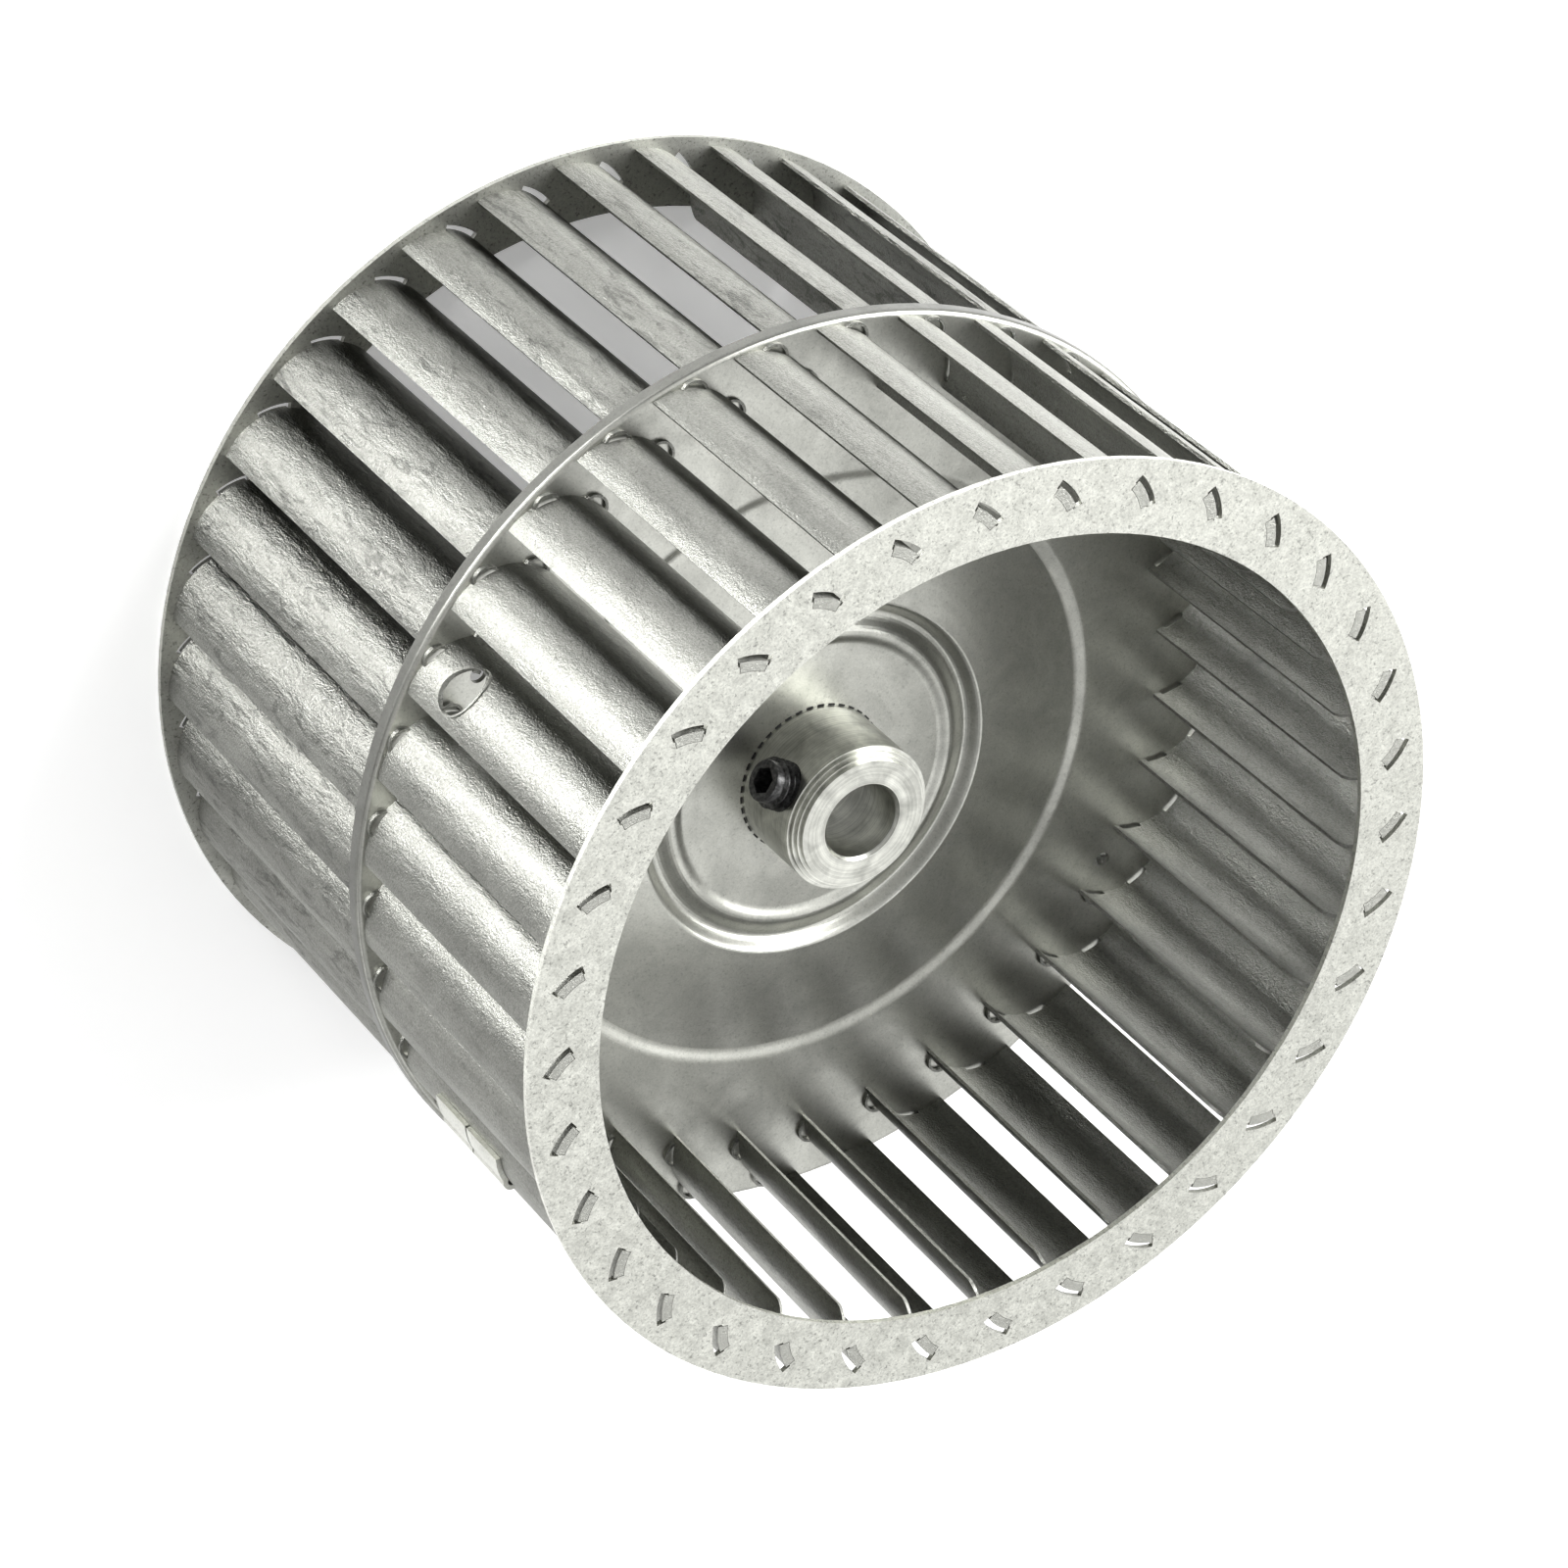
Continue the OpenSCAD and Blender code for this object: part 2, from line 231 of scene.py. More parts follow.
class ThreadSettings(bpy.types.PropertyGroup):
    """Thread of the set screw"""

    pitch: bpy.props.FloatProperty(
        name="Pitch",
        description="Distance between two turns of the thread",
        default=1.15 * MM,
        min=0.5 * MM,
        max=3 * MM,
        unit="LENGTH",
    )
    depth: bpy.props.FloatProperty(
        name="Depth",
        description="How far the thread's core lies inside the screw's radius",
        default=0.55 * MM,
        min=0.1 * MM,
        max=1.5 * MM,
        unit="LENGTH",
    )
    socket: bpy.props.FloatProperty(
        name="Socket",
        description="Size of the hexagon socket across its flats",
        default=4.0 * MM,
        min=1 * MM,
        max=6 * MM,
        unit="LENGTH",
    )
    socket_depth: bpy.props.FloatProperty(
        name="Socket Depth",
        description="Depth of the hexagon socket",
        default=4.0 * MM,
        min=1 * MM,
        max=8 * MM,
        unit="LENGTH",
    )


class StakeSettings(bpy.types.PropertyGroup):
    """Painted shadow in the gaps between the teeth of the pressed joint between hub and plate"""

    count: bpy.props.IntProperty(
        name="Count", description="Number of teeth round the hub", default=40, min=8, max=90
    )
    gap: bpy.props.FloatProperty(
        name="Gap",
        description="Width of the gap that shows between two teeth",
        default=0.28 * MM,
        min=0.05 * MM,
        max=1 * MM,
        unit="LENGTH",
    )
    share: bpy.props.FloatProperty(
        name="Share",
        description="Part of the pitch that the gap takes",
        default=0.6,
        min=0.1,
        max=0.9,
        subtype="FACTOR",
    )


class StageSettings(bpy.types.PropertyGroup):
    """Floor, lamps and camera"""

    front_power: bpy.props.FloatProperty(
        name="Front Power",
        description="Power of the low softbox in front of the wheel",
        default=15.0,
        min=0.0,
        unit="POWER",
    )
    left_power: bpy.props.FloatProperty(
        name="Left Power",
        description="Power of the raised softbox on the left of the wheel",
        default=14.0,
        min=0.0,
        unit="POWER",
    )
    right_power: bpy.props.FloatProperty(
        name="Right Power",
        description="Power of the low softbox on the right of the wheel",
        default=1.2,
        min=0.0,
        unit="POWER",
    )
    back_power: bpy.props.FloatProperty(
        name="Back Power",
        description="Power of the high panel behind the wheel",
        default=1.0,
        min=0.0,
        unit="POWER",
    )
    sky_all: bpy.props.FloatProperty(
        name="Sky All Round",
        description="Brightness of the whole sky",
        default=0.42,
        min=0.0,
        max=2.0,
    )
    sky_back: bpy.props.FloatProperty(
        name="Sky Behind",
        description="Brightness added high behind the wheel",
        default=0.95,
        min=0.0,
        max=2.0,
    )
    floor_glow: bpy.props.FloatProperty(
        name="Floor Glow",
        description="White added to the floor as the camera and the metal see it",
        default=0.27,
        min=0.0,
        max=1.0,
        subtype="FACTOR",
    )
    floor_size: bpy.props.FloatProperty(
        name="Floor Size",
        description="Side of the square floor",
        default=8.0,
        min=1.0,
        unit="LENGTH",
    )


# Node helpers


def new_node(tree, kind, place=(0, 0), **values):
    """Adds a node, and sets its properties and its inputs by name."""
    node = tree.nodes.new(kind)
    node.location = place
    for name, value in values.items():
        if hasattr(node, name):
            setattr(node, name, value)
        else:
            node.inputs[name.replace("_", " ")].default_value = value
    return node


def link(tree, source, target):
    tree.links.new(source, target)


def vector_maths(tree, operation, a, b=None, place=(0, 0)):
    """A vector node with its first input linked, and its second linked or set."""
    node = new_node(tree, "ShaderNodeVectorMath", place, operation=operation)
    link(tree, a, node.inputs[0])
    if isinstance(b, tuple):
        node.inputs[1].default_value = b
    elif b is not None:
        link(tree, b, node.inputs[1])
    return node.outputs


def new_group(name, inputs, outputs):
    """A node group with named sockets. Each input is (name, socket type, default)."""
    tree = bpy.data.node_groups.new(name, "ShaderNodeTree")
    for label, kind, default in inputs:
        socket = tree.interface.new_socket(name=label, in_out="INPUT", socket_type=kind)
        if default is not None:
            socket.default_value = default
    for label, kind in outputs:
        tree.interface.new_socket(name=label, in_out="OUTPUT", socket_type=kind)
    entry = new_node(tree, "NodeGroupInput", (-1200, 0))
    leave = new_node(tree, "NodeGroupOutput", (900, 0))
    return tree, entry, leave


def noise(tree, vector, scale, detail, roughness, distortion, place=(0, 0)):
    """A noise value between 0 and 1."""
    node = new_node(tree, "ShaderNodeTexNoise", place)
    node.inputs["Scale"].default_value = scale
    node.inputs["Detail"].default_value = detail
    node.inputs["Roughness"].default_value = roughness
    node.inputs["Distortion"].default_value = distortion
    link(tree, vector, node.inputs["Vector"])
    return node.outputs["Fac"]


def remap(tree, value, lo, hi, out_lo=0.0, out_hi=1.0, place=(0, 0)):
    """The value moved from the span lo to hi onto out_lo to out_hi, and held there."""
    node = new_node(tree, "ShaderNodeMapRange", place)
    node.inputs["From Min"].default_value = lo
    node.inputs["From Max"].default_value = hi
    node.inputs["To Min"].default_value = out_lo
    node.inputs["To Max"].default_value = out_hi
    link(tree, value, node.inputs["Value"])
    return node.outputs["Result"]


def maths(tree, operation, a, b, place=(0, 0)):
    """One sum with two values, each a number or a socket."""
    node = new_node(tree, "ShaderNodeMath", place)
    node.operation = operation
    for socket, value in zip(node.inputs, (a, b)):
        if isinstance(value, (int, float)):
            socket.default_value = value
        else:
            link(tree, value, socket)
    return node.outputs["Value"]


def zinc_group():
    """Zinc coat: masks for tone, fine grain, dark specks and streaks, and a height."""
    tree, entry, leave = new_group(
        "Zinc Coat",
        [
            ("Vector", VECTOR, None),
            ("Stretch", VECTOR, (1.0, 1.0, 1.0)),
            ("Wave", FLOAT, 1.0),
            ("Grit", FLOAT, 0.3),
        ],
        [(name, FLOAT) for name in ("Tone", "Grain", "Flecks", "Specks", "Streaks", "Height")],
    )
    plain = entry.outputs["Vector"]
    stretch = entry.outputs["Stretch"]
    stretched = vector_maths(tree, "MULTIPLY", plain, stretch, (-1000, 0))["Vector"]
    long = vector_maths(tree, "MULTIPLY", stretched, STREAK_STRETCH, (-1000, -600))["Vector"]
    spaces = {"plain": plain, "stretched": stretched, "long": long}
    values = {
        name: noise(tree, spaces[space], scale, detail, rough, distortion, (-800, row))
        for name, space, scale, detail, rough, distortion, row in ZINC_NOISES
    }
    for name, (lo, hi) in ZINC_MASKS.items():
        link(tree, remap(tree, values[name], lo, hi, place=(-500, 0)), leave.inputs[name])
    grit = maths(tree, "MULTIPLY", values["Grain"], entry.outputs["Grit"], (-500, -200))
    wave = maths(tree, "MULTIPLY", values["Wave"], entry.outputs["Wave"], (-500, 0))
    fine = maths(tree, "ADD", values["Crinkle"], grit, (-300, 0))
    link(tree, maths(tree, "ADD", fine, wave, (-100, 0)), leave.inputs["Height"])
    return tree


def new_material(name):
    """A material's tree, its Object coordinate and its Principled shader."""
    made = bpy.data.materials.new(name)
    made.use_nodes = True
    tree = made.node_tree
    tree.nodes.clear()
    coords = new_node(tree, "ShaderNodeTexCoord", (-1400, 0))
    shader = new_node(tree, "ShaderNodeBsdfPrincipled", (600, 0))
    out = new_node(tree, "ShaderNodeOutputMaterial", (900, 0))
    link(tree, shader.outputs["BSDF"], out.inputs["Surface"])
    return made, tree, coords.outputs["Object"], shader


def tint(tree, value, dark, light, place=(0, 0)):
    """A colour between dark and light by a value from 0 to 1."""
    node = new_node(tree, "ShaderNodeMix", place)
    node.data_type = "RGBA"
    node.inputs["A"].default_value = (*dark, 1.0)
    node.inputs["B"].default_value = (*light, 1.0)
    link(tree, value, node.inputs["Factor"])
    return node.outputs["Result"]


def bump(tree, height, distance, place=(0, 0)):
    """A normal bent by a height of 1 over the distance."""
    node = new_node(tree, "ShaderNodeBump", place)
    node.inputs["Distance"].default_value = distance
    node.inputs["Strength"].default_value = 1.0
    link(tree, height, node.inputs["Height"])
    return node.outputs["Normal"]


def grey(value, warm=0.0):
    """A grey that loses blue, and a little red, the warmer it is."""
    return (value * (1 - 0.1 * warm), value, value * (1 - warm))


def rim_mask(tree, vector, rim):
    """A mask that is 1 on the outside of the rim, round the shaft axis: the lip's painted shade."""
    flat = vector_maths(tree, "MULTIPLY", vector, (1.0, 1.0, 0.0), (-1000, -700))["Vector"]
    radius = vector_maths(tree, "LENGTH", flat, place=(-800, -700))["Value"]
    clear, full = (rim - inside for inside in RIM_FADE)
    return remap(tree, radius, clear, full, place=(-600, -700))


def fold_mask(tree, vector):
    """A mask that is 1 on what stands out over the rings' outer faces, the folded tabs, painted
    lighter.
    """
    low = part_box("rear_ring")[0].z
    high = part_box("front_ring")[1].z
    parts = new_node(tree, "ShaderNodeSeparateXYZ", (-1000, -1000))
    link(tree, vector, parts.inputs["Vector"])
    middle = maths(tree, "SUBTRACT", parts.outputs["Z"], (low + high) / 2, (-800, -1000))
    height = maths(tree, "ABSOLUTE", middle, 0.0, (-600, -1000))
    half = (high - low) / 2
    return remap(tree, height, half - FOLD_FADE, half + FOLD_FADE, place=(-400, -1000))


def mix(tree, factor, a, b, blend="MIX", place=(0, 0)):
    """A colour mixed from two; the factor and the second can be a socket or a value."""
    node = new_node(tree, "ShaderNodeMix", place, data_type="RGBA", blend_type=blend)
    link(tree, a, node.inputs["A"])
    for value, name in ((factor, "Factor"), (b, "B")):
        if isinstance(value, (float, tuple)):
            node.inputs[name].default_value = value
        else:
            link(tree, value, node.inputs[name])
    return node.outputs["Result"]


def zinc_material(name, group, look):
    """Galvanised sheet. The look gives its tone, the depth of each mask, and the height."""
    made, tree, vector, shader = new_material(name)
    coat = new_node(tree, "ShaderNodeGroup", (-1000, 0), node_tree=group)
    link(tree, vector, coat.inputs["Vector"])
    for setting in ("Stretch", "Wave", "Grit"):
        coat.inputs[setting].default_value = look[setting.lower()]
    dark = grey(look["tone"] * (1 - look["cloud"]), WARMTH)
    light = grey(look["tone"] * LIGHT_SHARE, WARMTH)
    colour = tint(tree, coat.outputs["Tone"], dark, light, (-600, 200))
    masks = [
        (coat.outputs[mask], look[mask.lower()])
        for mask in ("Streaks", "Grain", "Flecks", "Specks")
    ]
    # The rim mask paints shade on the plate's lip; the other masks are the zinc's own marks
    if look["rim"] > 0:
        masks.append((rim_mask(tree, vector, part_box(PLATE_NODE)[1].x), look["rim"]))
    for mask, depth in masks:
        shade = tint(tree, mask, (1, 1, 1), grey(1 - depth), (-600, 0))
        colour = mix(tree, 1.0, colour, shade, "MULTIPLY", (-250, 150))
    # Painted light: the folded tabs lose the blades' darker tone and take the plain sheet tone, as
    # lit as the ring's face
    if look["folds"] > 0:
        tab_lit_tone = (*grey(look["folds"], WARMTH), 1.0)
        colour = mix(tree, fold_mask(tree, vector), colour, tab_lit_tone, place=(0, 150))
    link(tree, colour, shader.inputs["Base Color"])
    shader.inputs["Metallic"].default_value = 1.0
    rough, smooth = (look["rough"] * share for share in ROUGH_SHARES)
    roughness = remap(tree, coat.outputs["Tone"], 0.0, 1.0, rough, smooth, (-250, -100))
    link(tree, roughness, shader.inputs["Roughness"])
    if look["brushed"] > 0:
        shader.inputs["Anisotropic"].default_value = look["brushed"]
        upright = new_node(tree, "ShaderNodeCombineXYZ", (0, -500), Z=1.0)
        link(tree, upright.outputs["Vector"], shader.inputs["Tangent"])
    normal = bump(tree, coat.outputs["Height"], look["height"], (0, -300))
    link(tree, normal, shader.inputs["Normal"])
    return made


def turned_material():
    """Machined steel with fine turning marks round the shaft axis."""
    made, tree, vector, shader = new_material("Turned Steel")
    parts = new_node(tree, "ShaderNodeSeparateXYZ", (-1200, 0))
    link(tree, vector, parts.inputs["Vector"])
    flat = new_node(tree, "ShaderNodeCombineXYZ", (-1000, 100))
    link(tree, parts.outputs["X"], flat.inputs["X"])
    link(tree, parts.outputs["Y"], flat.inputs["Y"])
    radius = vector_maths(tree, "LENGTH", flat.outputs["Vector"], place=(-850, 100))["Value"]
    track = new_node(tree, "ShaderNodeCombineXYZ", (-650, 0))
    link(tree, radius, track.inputs["X"])
    link(tree, parts.outputs["Z"], track.inputs["Y"])
    marks = noise(tree, track.outputs["Vector"], 2600.0, 3.0, 0.7, 0.0, (-450, 0))
    cloud = noise(tree, vector, 260.0, 4.0, 0.6, 0.4, (-450, 300))
    worn = remap(tree, maths(tree, "MULTIPLY", marks, cloud, (-300, 200)), 0.12, 0.4)
    colour = tint(tree, worn, grey(0.36, WARMTH), grey(0.86, WARMTH), (-200, 200))
    link(tree, colour, shader.inputs["Base Color"])
    shader.inputs["Metallic"].default_value = 1.0
    shader.inputs["Roughness"].default_value = 0.28
    link(tree, bump(tree, marks, 0.03 * MM, (0, -300)), shader.inputs["Normal"])
    return made


def black_material():
    """Black oxide on steel, slightly worn."""
    made, tree, vector, shader = new_material("Black Oxide")
    wear = noise(tree, vector, 1500.0, 4.0, 0.6, 0.2, (-600, 0))
    mask = remap(tree, wear, 0.4, 0.75, place=(-400, 0))
    colour = tint(tree, mask, grey(0.03), grey(0.15), (-150, 100))
    link(tree, colour, shader.inputs["Base Color"])
    shader.inputs["Metallic"].default_value = 0.6
    shader.inputs["Roughness"].default_value = 0.32
    return made


def dark_material():
    """Shadowed gap in the pressed joint."""
    made, _, _, shader = new_material("Joint Shadow")
    shader.inputs["Base Color"].default_value = (*grey(0.03), 1.0)
    shader.inputs["Roughness"].default_value = 0.7
    return made


def floor_material(glow):
    """White matt floor. The camera and the metal see it a little brighter, with its shadows."""
    made, tree, vector, shader = new_material("Floor")
    grain = noise(tree, vector, 300.0, 3.0, 0.6, 0.0, (-600, 0))
    colour = tint(tree, grain, grey(0.9), grey(0.94), (-300, 0))
    link(tree, colour, shader.inputs["Base Color"])
    shader.inputs["Roughness"].default_value = 0.9
    shader.inputs["Specular IOR Level"].default_value = 0.0
    rays = new_node(tree, "ShaderNodeLightPath", (-600, 500)).outputs
    seen = maths(tree, "MAXIMUM", rays["Is Camera Ray"], rays["Is Glossy Ray"], (-400, 500))
    seen = maths(tree, "MAXIMUM", seen, rays["Is Transmission Ray"], (-200, 500))
    shader.inputs["Emission Color"].default_value = (1.0, 1.0, 1.0, 1.0)
    strength = maths(tree, "MULTIPLY", seen, glow, (0, 500))
    link(tree, strength, shader.inputs["Emission Strength"])
    return made


# Mesh helpers


def deselect():
    bpy.ops.object.select_all(action="DESELECT")


def start(obj_name):
    """Names the object that the last primitive operator made."""
    obj = bpy.context.active_object
    obj.name = obj_name
    obj.data.name = obj_name
    return obj


def only(obj):
    deselect()
    obj.select_set(True)
    bpy.context.view_layer.objects.active = obj


def settle(obj):
    """Moves the object's place into its mesh, so that its origin is the row's."""
    only(obj)
    bpy.ops.object.transform_apply(location=True, rotation=True, scale=True)
    return obj


def apply(obj, modifier):
    only(obj)
    bpy.ops.object.modifier_apply(modifier=modifier.name)


def join(first, *others):
    deselect()
    for obj in (first, *others):
        obj.select_set(True)
    bpy.context.view_layer.objects.active = first
    bpy.ops.object.join()
    return first


def set_material(obj, finish):
    obj.data.materials.clear()
    obj.data.materials.append(finish)


def finish_named(name):
    found = bpy.data.materials.get(name)
    if found is None:
        raise RuntimeError(f"make the finishes first: there is no material {name}")
    return found


# Operators


class BLOWER_OT_finishes(bpy.types.Operator):
    """Makes the finishes and puts them on the wheel's solids"""

    bl_idname = "blower.finishes"
    bl_label = "Apply Finishes"
    bl_options = {"REGISTER", "UNDO"}

    def execute(self, context):
        sheet = context.scene.blower_sheet
        group = zinc_group()
        # Painted light and shade: one zinc is drawn dark on the blades, lighter on the front ring
        # and the tabs, and darker on the plate and the rear ring
        blade = {
            "tone": sheet.blade_tone,
            "folds": sheet.tone,
            "height": sheet.crinkle,
            "rough": sheet.roughness,
        }
        rear_blade = {**blade, "height": sheet.crinkle * REAR_CRINKLE}
        ring = {"tone": sheet.tone * RING_TONE}
        rear_ring = {"tone": sheet.tone * REAR_RING_TONE}
        plate = {"tone": sheet.tone * PLATE_TONE}
        clip = {"tone": sheet.tone}
        zincs = {
            name: zinc_material(name, group, {**look, **given})
            for name, look, given in (
                ("Front Blade Zinc", BLADE_LOOK, blade),
                ("Rear Blade Zinc", REAR_BLADE_LOOK, rear_blade),
                ("Ring Zinc", RING_LOOK, ring),
                ("Rear Ring Zinc", REAR_RING_LOOK, rear_ring),
                ("Plate Zinc", PLATE_LOOK, plate),
                ("Clip Steel", CLIP_LOOK, clip),
            )
        }
        special = {
            FRONT_RING_NODE: zincs["Ring Zinc"],
            REAR_RING_NODE: zincs["Rear Ring Zinc"],
            PLATE_NODE: zincs["Plate Zinc"],
            HUB_NODE: turned_material(),
            SCREW_NODE: black_material(),
            **{name: zincs["Clip Steel"] for name in CLIP_NODES},
        }
        dark_material()
        for name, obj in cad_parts.items():
            side = "Front" if name.startswith("front_blade") else "Rear"
            set_material(obj, special.get(name, zincs[f"{side} Blade Zinc"]))
        return {"FINISHED"}


class BLOWER_OT_set_screw(bpy.types.Operator):
    """Makes the set screw with its thread and hexagon socket"""

    bl_idname = "blower.set_screw"
    bl_label = "Make Set Screw"
    bl_options = {"REGISTER", "UNDO"}

    def execute(self, context):
        thread = context.scene.blower_thread
        lo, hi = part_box(SCREW_NODE)
        radius = (hi.z - lo.z) / 2
        centre_z = (hi.z + lo.z) / 2
        length = hi.x - lo.x
        core = radius - thread.depth
        deselect()
        bpy.ops.mesh.primitive_cylinder_add(
            vertices=64,
            radius=core,
            depth=length,
            location=(lo.x + length / 2, 0, centre_z),
            rotation=(0, math.pi / 2, 0),
        )
        screw = start("threaded_set_screw")
        edge = screw.modifiers.new("Edge", "BEVEL")
        edge.width = SCREW_EDGE
        edge.segments = 2
        apply(screw, edge)
        settle(screw)
        deselect()
        bpy.ops.mesh.primitive_cylinder_add(
            vertices=6,
            radius=thread.socket / 2 / math.cos(math.pi / 6),
            depth=thread.socket_depth * 2,
            location=(hi.x, 0, centre_z),
            rotation=(0, math.pi / 2, 0),
        )
        cutter = start("socket_cutter")
        settle(cutter)
        cut = screw.modifiers.new("Socket", "BOOLEAN")
        cut.operation = "DIFFERENCE"
        cut.solver = "EXACT"
        cut.object = cutter
        apply(screw, cut)
        bpy.data.objects.remove(cutter, do_unlink=True)
        turns = int((length - PLAIN_ENDS) / thread.pitch)
        deselect()
        bpy.ops.mesh.primitive_circle_add(
            vertices=3, radius=1.0, fill_type="NOTHING", location=(0, 0, 0)
        )
        ridge = start("thread_ridge")
        ridge.scale = (thread.depth * RIDGE_ALONG, thread.pitch * RIDGE_OUT, 1.0)
        ridge.rotation_euler = (0, 0, -math.pi / 2)
        settle(ridge)
        bpy.ops.object.mode_set(mode="EDIT")
        bpy.ops.mesh.select_all(action="SELECT")
        bpy.ops.transform.rotate(
            value=math.pi / 2, orient_axis="X", center_override=(0, 0, 0), orient_type="GLOBAL"
        )
        bpy.ops.transform.translate(value=(core + thread.depth * RIDGE_LIFT, 0, 0))
        bpy.ops.object.mode_set(mode="OBJECT")
        turn = ridge.modifiers.new("Turns", "SCREW")
        turn.angle = math.tau * turns
        turn.screw_offset = thread.pitch * turns
        turn.steps = STEPS_A_TURN * turns
        turn.render_steps = STEPS_A_TURN * turns
        turn.axis = "Z"
        apply(ridge, turn)
        ridge.location = (lo.x + (length - turns * thread.pitch) / 2, 0, centre_z)
        ridge.rotation_euler = (0, math.pi / 2, 0)
        settle(ridge)
        join(screw, ridge)
        only(screw)
        bpy.ops.object.shade_smooth_by_angle(angle=SMOOTH_ANGLE)
        set_material(screw, finish_named("Black Oxide"))
        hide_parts(SCREW_NODE)
        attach(screw, SCREW)
        return {"FINISHED"}


class BLOWER_OT_hub_joint(bpy.types.Operator):
    """Makes the painted shadow of the pressed joint: dark strips in its gaps round the hub's foot
    """

    bl_idname = "blower.hub_joint"
    bl_label = "Make Hub Joint"
    bl_options = {"REGISTER", "UNDO"}

    def execute(self, context):
        stake = context.scene.blower_stake
        _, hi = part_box(HUB_NODE)
        pitch = math.tau / stake.count
        deselect()
        # Painted shadow: flat near-black strips on the seat stand for the shade in the joint's gaps
        bpy.ops.mesh.primitive_plane_add(
            size=1.0,
            location=(hi.x + stake.gap * SHADOW_STRIP_OUT, 0, SEAT_Z + SHADOW_STRIP_Z),
            rotation=(math.pi / 2, 0, 0),
        )
        first = start("hub_joint")
        first.scale = (stake.gap, SHADOW_STRIP_T, 1.0)
        settle(first)
        bpy.ops.object.mode_set(mode="EDIT")
        bpy.ops.mesh.select_all(action="SELECT")
        bpy.ops.mesh.spin(
            steps=SHADOW_STRIP_STEPS,
            angle=pitch * stake.share,
            use_auto_merge=True,
            center=(0, 0, 0),
            axis=(0, 0, 1),
        )
        bpy.ops.mesh.select_all(action="SELECT")
        bpy.ops.mesh.fill_holes(sides=4)
        bpy.ops.mesh.select_all(action="SELECT")
        bpy.ops.mesh.normals_make_consistent(inside=False)
        bpy.ops.object.mode_set(mode="OBJECT")
        copies = []
        for k in range(1, stake.count):
            shadow_strip = first.copy()
            shadow_strip.data = first.data.copy()
            context.collection.objects.link(shadow_strip)
            shadow_strip.rotation_euler = (0, 0, pitch * k)
            copies.append(settle(shadow_strip))
        joint = join(first, *copies)
        set_material(joint, finish_named("Joint Shadow"))
        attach(joint, WHEEL)
        return {"FINISHED"}


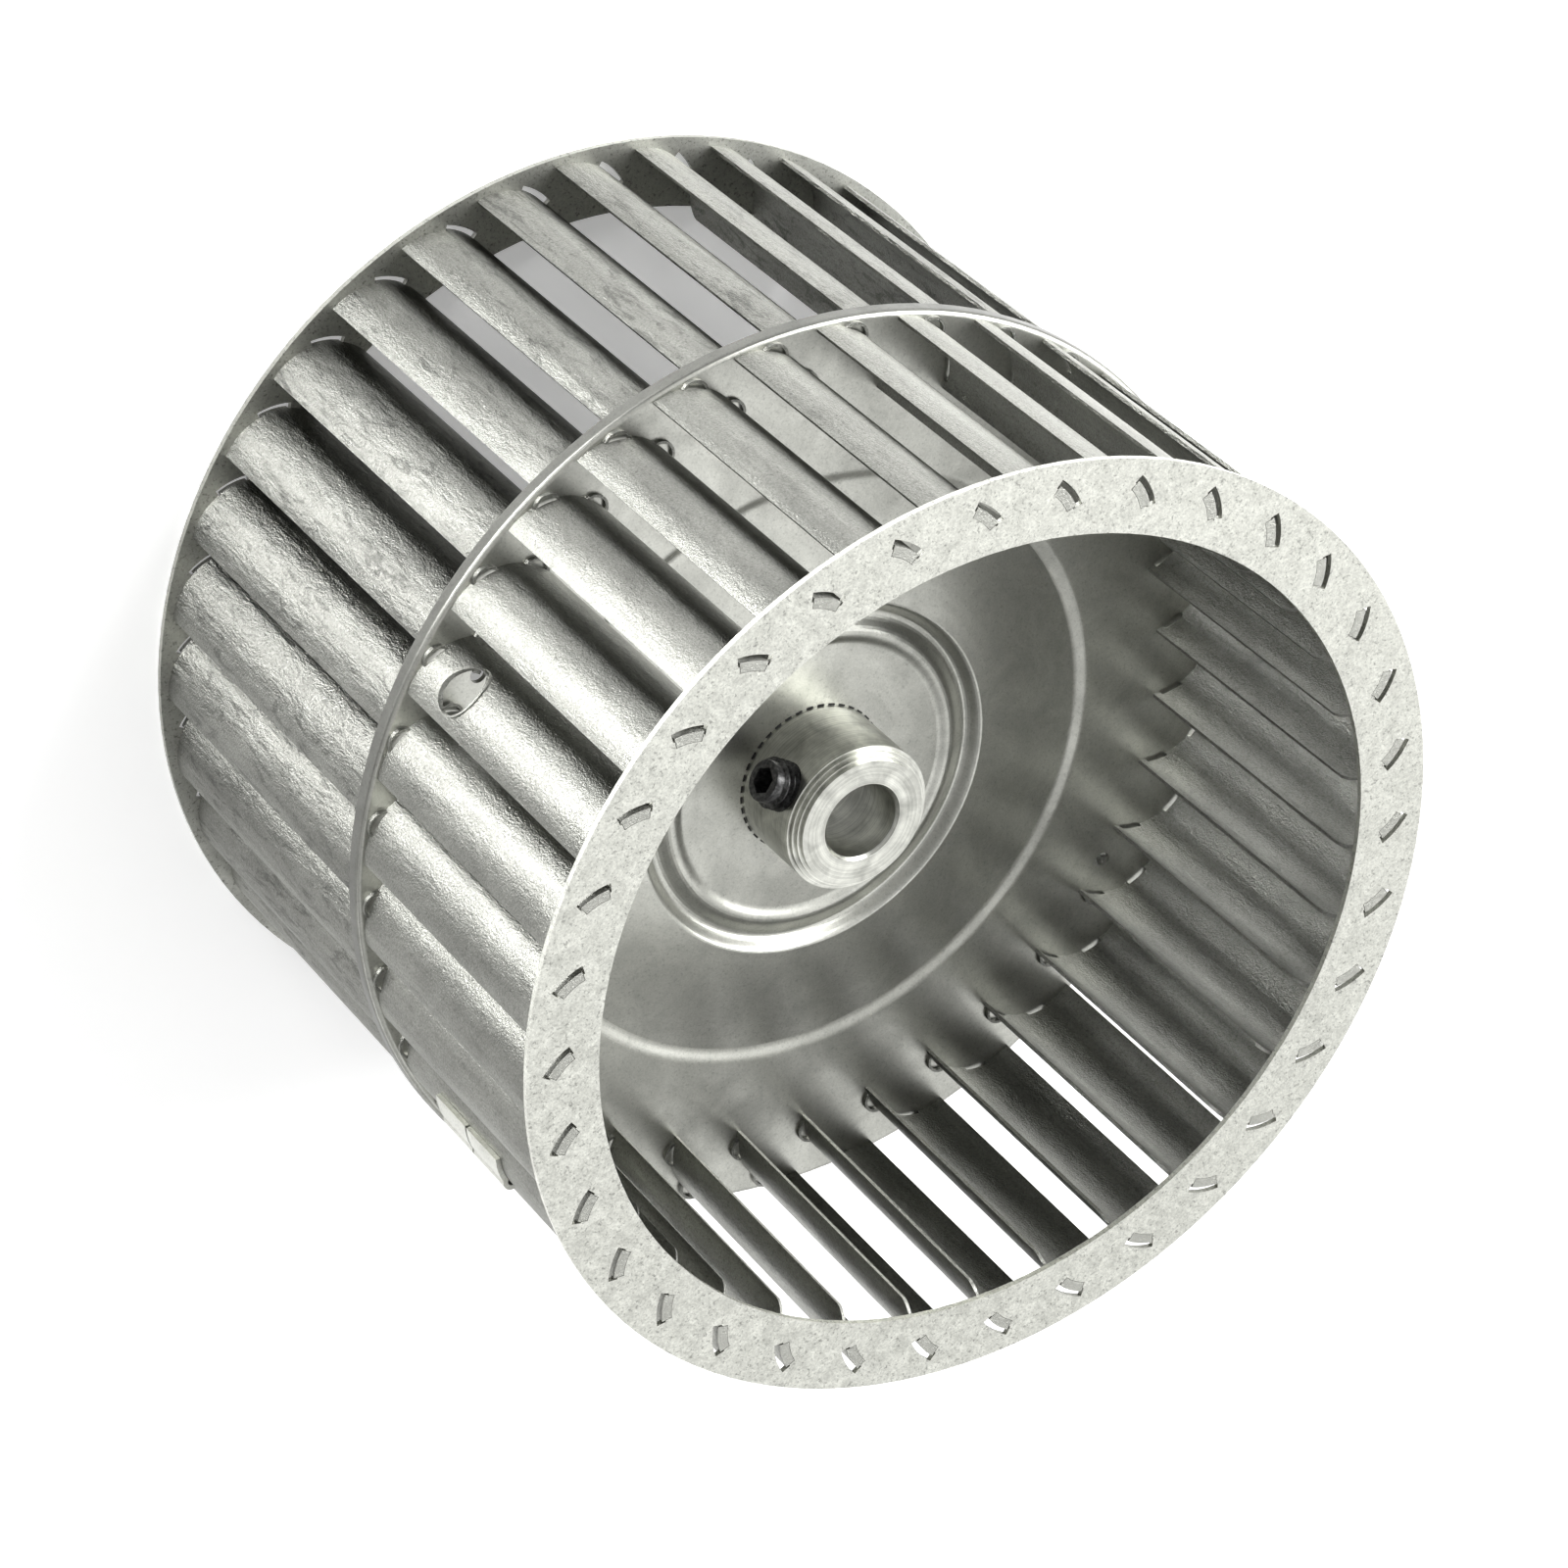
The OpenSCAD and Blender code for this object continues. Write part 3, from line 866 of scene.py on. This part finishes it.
class BLOWER_OT_stage(bpy.types.Operator):
    """Makes the floor, the lamps, the sky and the camera"""

    bl_idname = "blower.stage"
    bl_label = "Make Stage"
    bl_options = {"REGISTER", "UNDO"}

    def execute(self, context):
        settings = context.scene.blower_stage
        deselect()
        bpy.ops.mesh.primitive_plane_add(size=settings.floor_size, location=(0, 0, FLOOR_Z))
        floor = start("floor")
        settle(floor)
        set_material(floor, floor_material(settings.floor_glow))
        for *lamp, power in LAMPS:
            self.panel(*lamp, getattr(settings, power))
        self.sky(settings.sky_all, settings.sky_back)
        self.camera()
        context.scene.view_settings.view_transform = "Standard"
        return {"FINISHED"}

    def panel(self, name, azimuth, elevation, distance, size, power):
        """A soft rectangular lamp that faces the middle of the wheel."""
        turn = math.radians(azimuth)
        rise = math.radians(elevation)
        level = math.cos(rise)
        away = Vector((math.cos(turn) * level, math.sin(turn) * level, math.sin(rise)))
        deselect()
        bpy.ops.object.light_add(type="AREA", location=Vector(LAMP_TARGET) + away * distance)
        lamp = bpy.context.active_object
        lamp.name = name
        lamp.data.shape = "RECTANGLE"
        lamp.data.size = size[0]
        lamp.data.size_y = size[1]
        lamp.data.energy = power
        lamp.rotation_mode = "QUATERNION"
        lamp.rotation_quaternion = (-away).to_track_quat("-Z", "Y")

    def sky(self, everywhere, behind):
        """An even sky with a soft bright patch high behind the wheel."""
        world = bpy.data.worlds.new("Studio")
        world.use_nodes = True
        tree = world.node_tree
        back = tree.nodes["Background"]
        coords = new_node(tree, "ShaderNodeTexCoord", (-1000, 0))
        towards = coords.outputs["Generated"]
        facing = vector_maths(tree, "DOT_PRODUCT", towards, SKY_PATCH, (-800, 0))["Value"]
        patch = maths(tree, "MAXIMUM", facing, 0.0, (-600, 0))
        patch = maths(tree, "POWER", patch, SKY_PATCH_POWER, (-400, 0))
        patch = maths(tree, "MULTIPLY", patch, behind, (-300, 0))
        level = maths(tree, "ADD", patch, everywhere, (-150, 0))
        link(tree, level, back.inputs["Strength"])
        back.inputs["Color"].default_value = (1.0, 1.0, 1.0, 1.0)
        bpy.context.scene.world = world

    def camera(self):
        """The camera at the photograph's place and angle."""
        deselect()
        bpy.ops.object.camera_add(location=(0, 0, 0))
        cam = bpy.context.active_object
        cam.name = "photo_camera"
        right = Vector(CAMERA_RIGHT)
        back = right.cross(Vector(CAMERA_UP)).normalized()
        up = back.cross(right).normalized()
        turn = Matrix((right.normalized(), up, back)).transposed().to_4x4()
        cam.matrix_world = Matrix.Translation(Vector(CAMERA_PLACE)) @ turn
        cam.data.sensor_width = CAMERA_SENSOR
        cam.data.lens = CAMERA_LENS
        cam.data.clip_start = 0.01
        cam.data.clip_end = 20.0
        bpy.context.scene.camera = cam


class BLOWER_PT_panel(bpy.types.Panel):
    """Sidebar panel of the blower wheel"""

    bl_idname = "BLOWER_PT_panel"
    bl_label = "Blower Wheel"
    bl_space_type = "VIEW_3D"
    bl_region_type = "UI"
    bl_category = "Blower Wheel"

    def draw(self, context):
        scene = context.scene
        parts = (
            ("blower.finishes", scene.blower_sheet, ("tone", "blade_tone", "crinkle", "roughness")),
            ("blower.set_screw", scene.blower_thread, ("pitch", "depth", "socket", "socket_depth")),
            ("blower.hub_joint", scene.blower_stake, ("count", "gap", "share")),
            (
                "blower.stage",
                scene.blower_stage,
                (
                    "front_power",
                    "left_power",
                    "right_power",
                    "back_power",
                    "sky_all",
                    "sky_back",
                    "floor_glow",
                    "floor_size",
                ),
            ),
        )
        for operator, settings, names in parts:
            box = self.layout.box()
            for name in names:
                box.prop(settings, name)
            box.operator(operator)


CLASSES = (
    SheetSettings,
    ThreadSettings,
    StakeSettings,
    StageSettings,
    BLOWER_OT_finishes,
    BLOWER_OT_set_screw,
    BLOWER_OT_hub_joint,
    BLOWER_OT_stage,
    BLOWER_PT_panel,
)


def register():
    for cls in CLASSES:
        bpy.utils.register_class(cls)
    bpy.types.Scene.blower_sheet = bpy.props.PointerProperty(type=SheetSettings)
    bpy.types.Scene.blower_thread = bpy.props.PointerProperty(type=ThreadSettings)
    bpy.types.Scene.blower_stake = bpy.props.PointerProperty(type=StakeSettings)
    bpy.types.Scene.blower_stage = bpy.props.PointerProperty(type=StageSettings)


def unregister():
    for name in ("blower_sheet", "blower_thread", "blower_stake", "blower_stage"):
        delattr(bpy.types.Scene, name)
    for cls in reversed(CLASSES):
        bpy.utils.unregister_class(cls)


def main():
    """Registers the add-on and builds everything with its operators."""
    register()
    bpy.ops.blower.finishes()
    bpy.ops.blower.set_screw()
    bpy.ops.blower.hub_joint()
    bpy.ops.blower.stage()


if __name__ == "__main__":
    main()
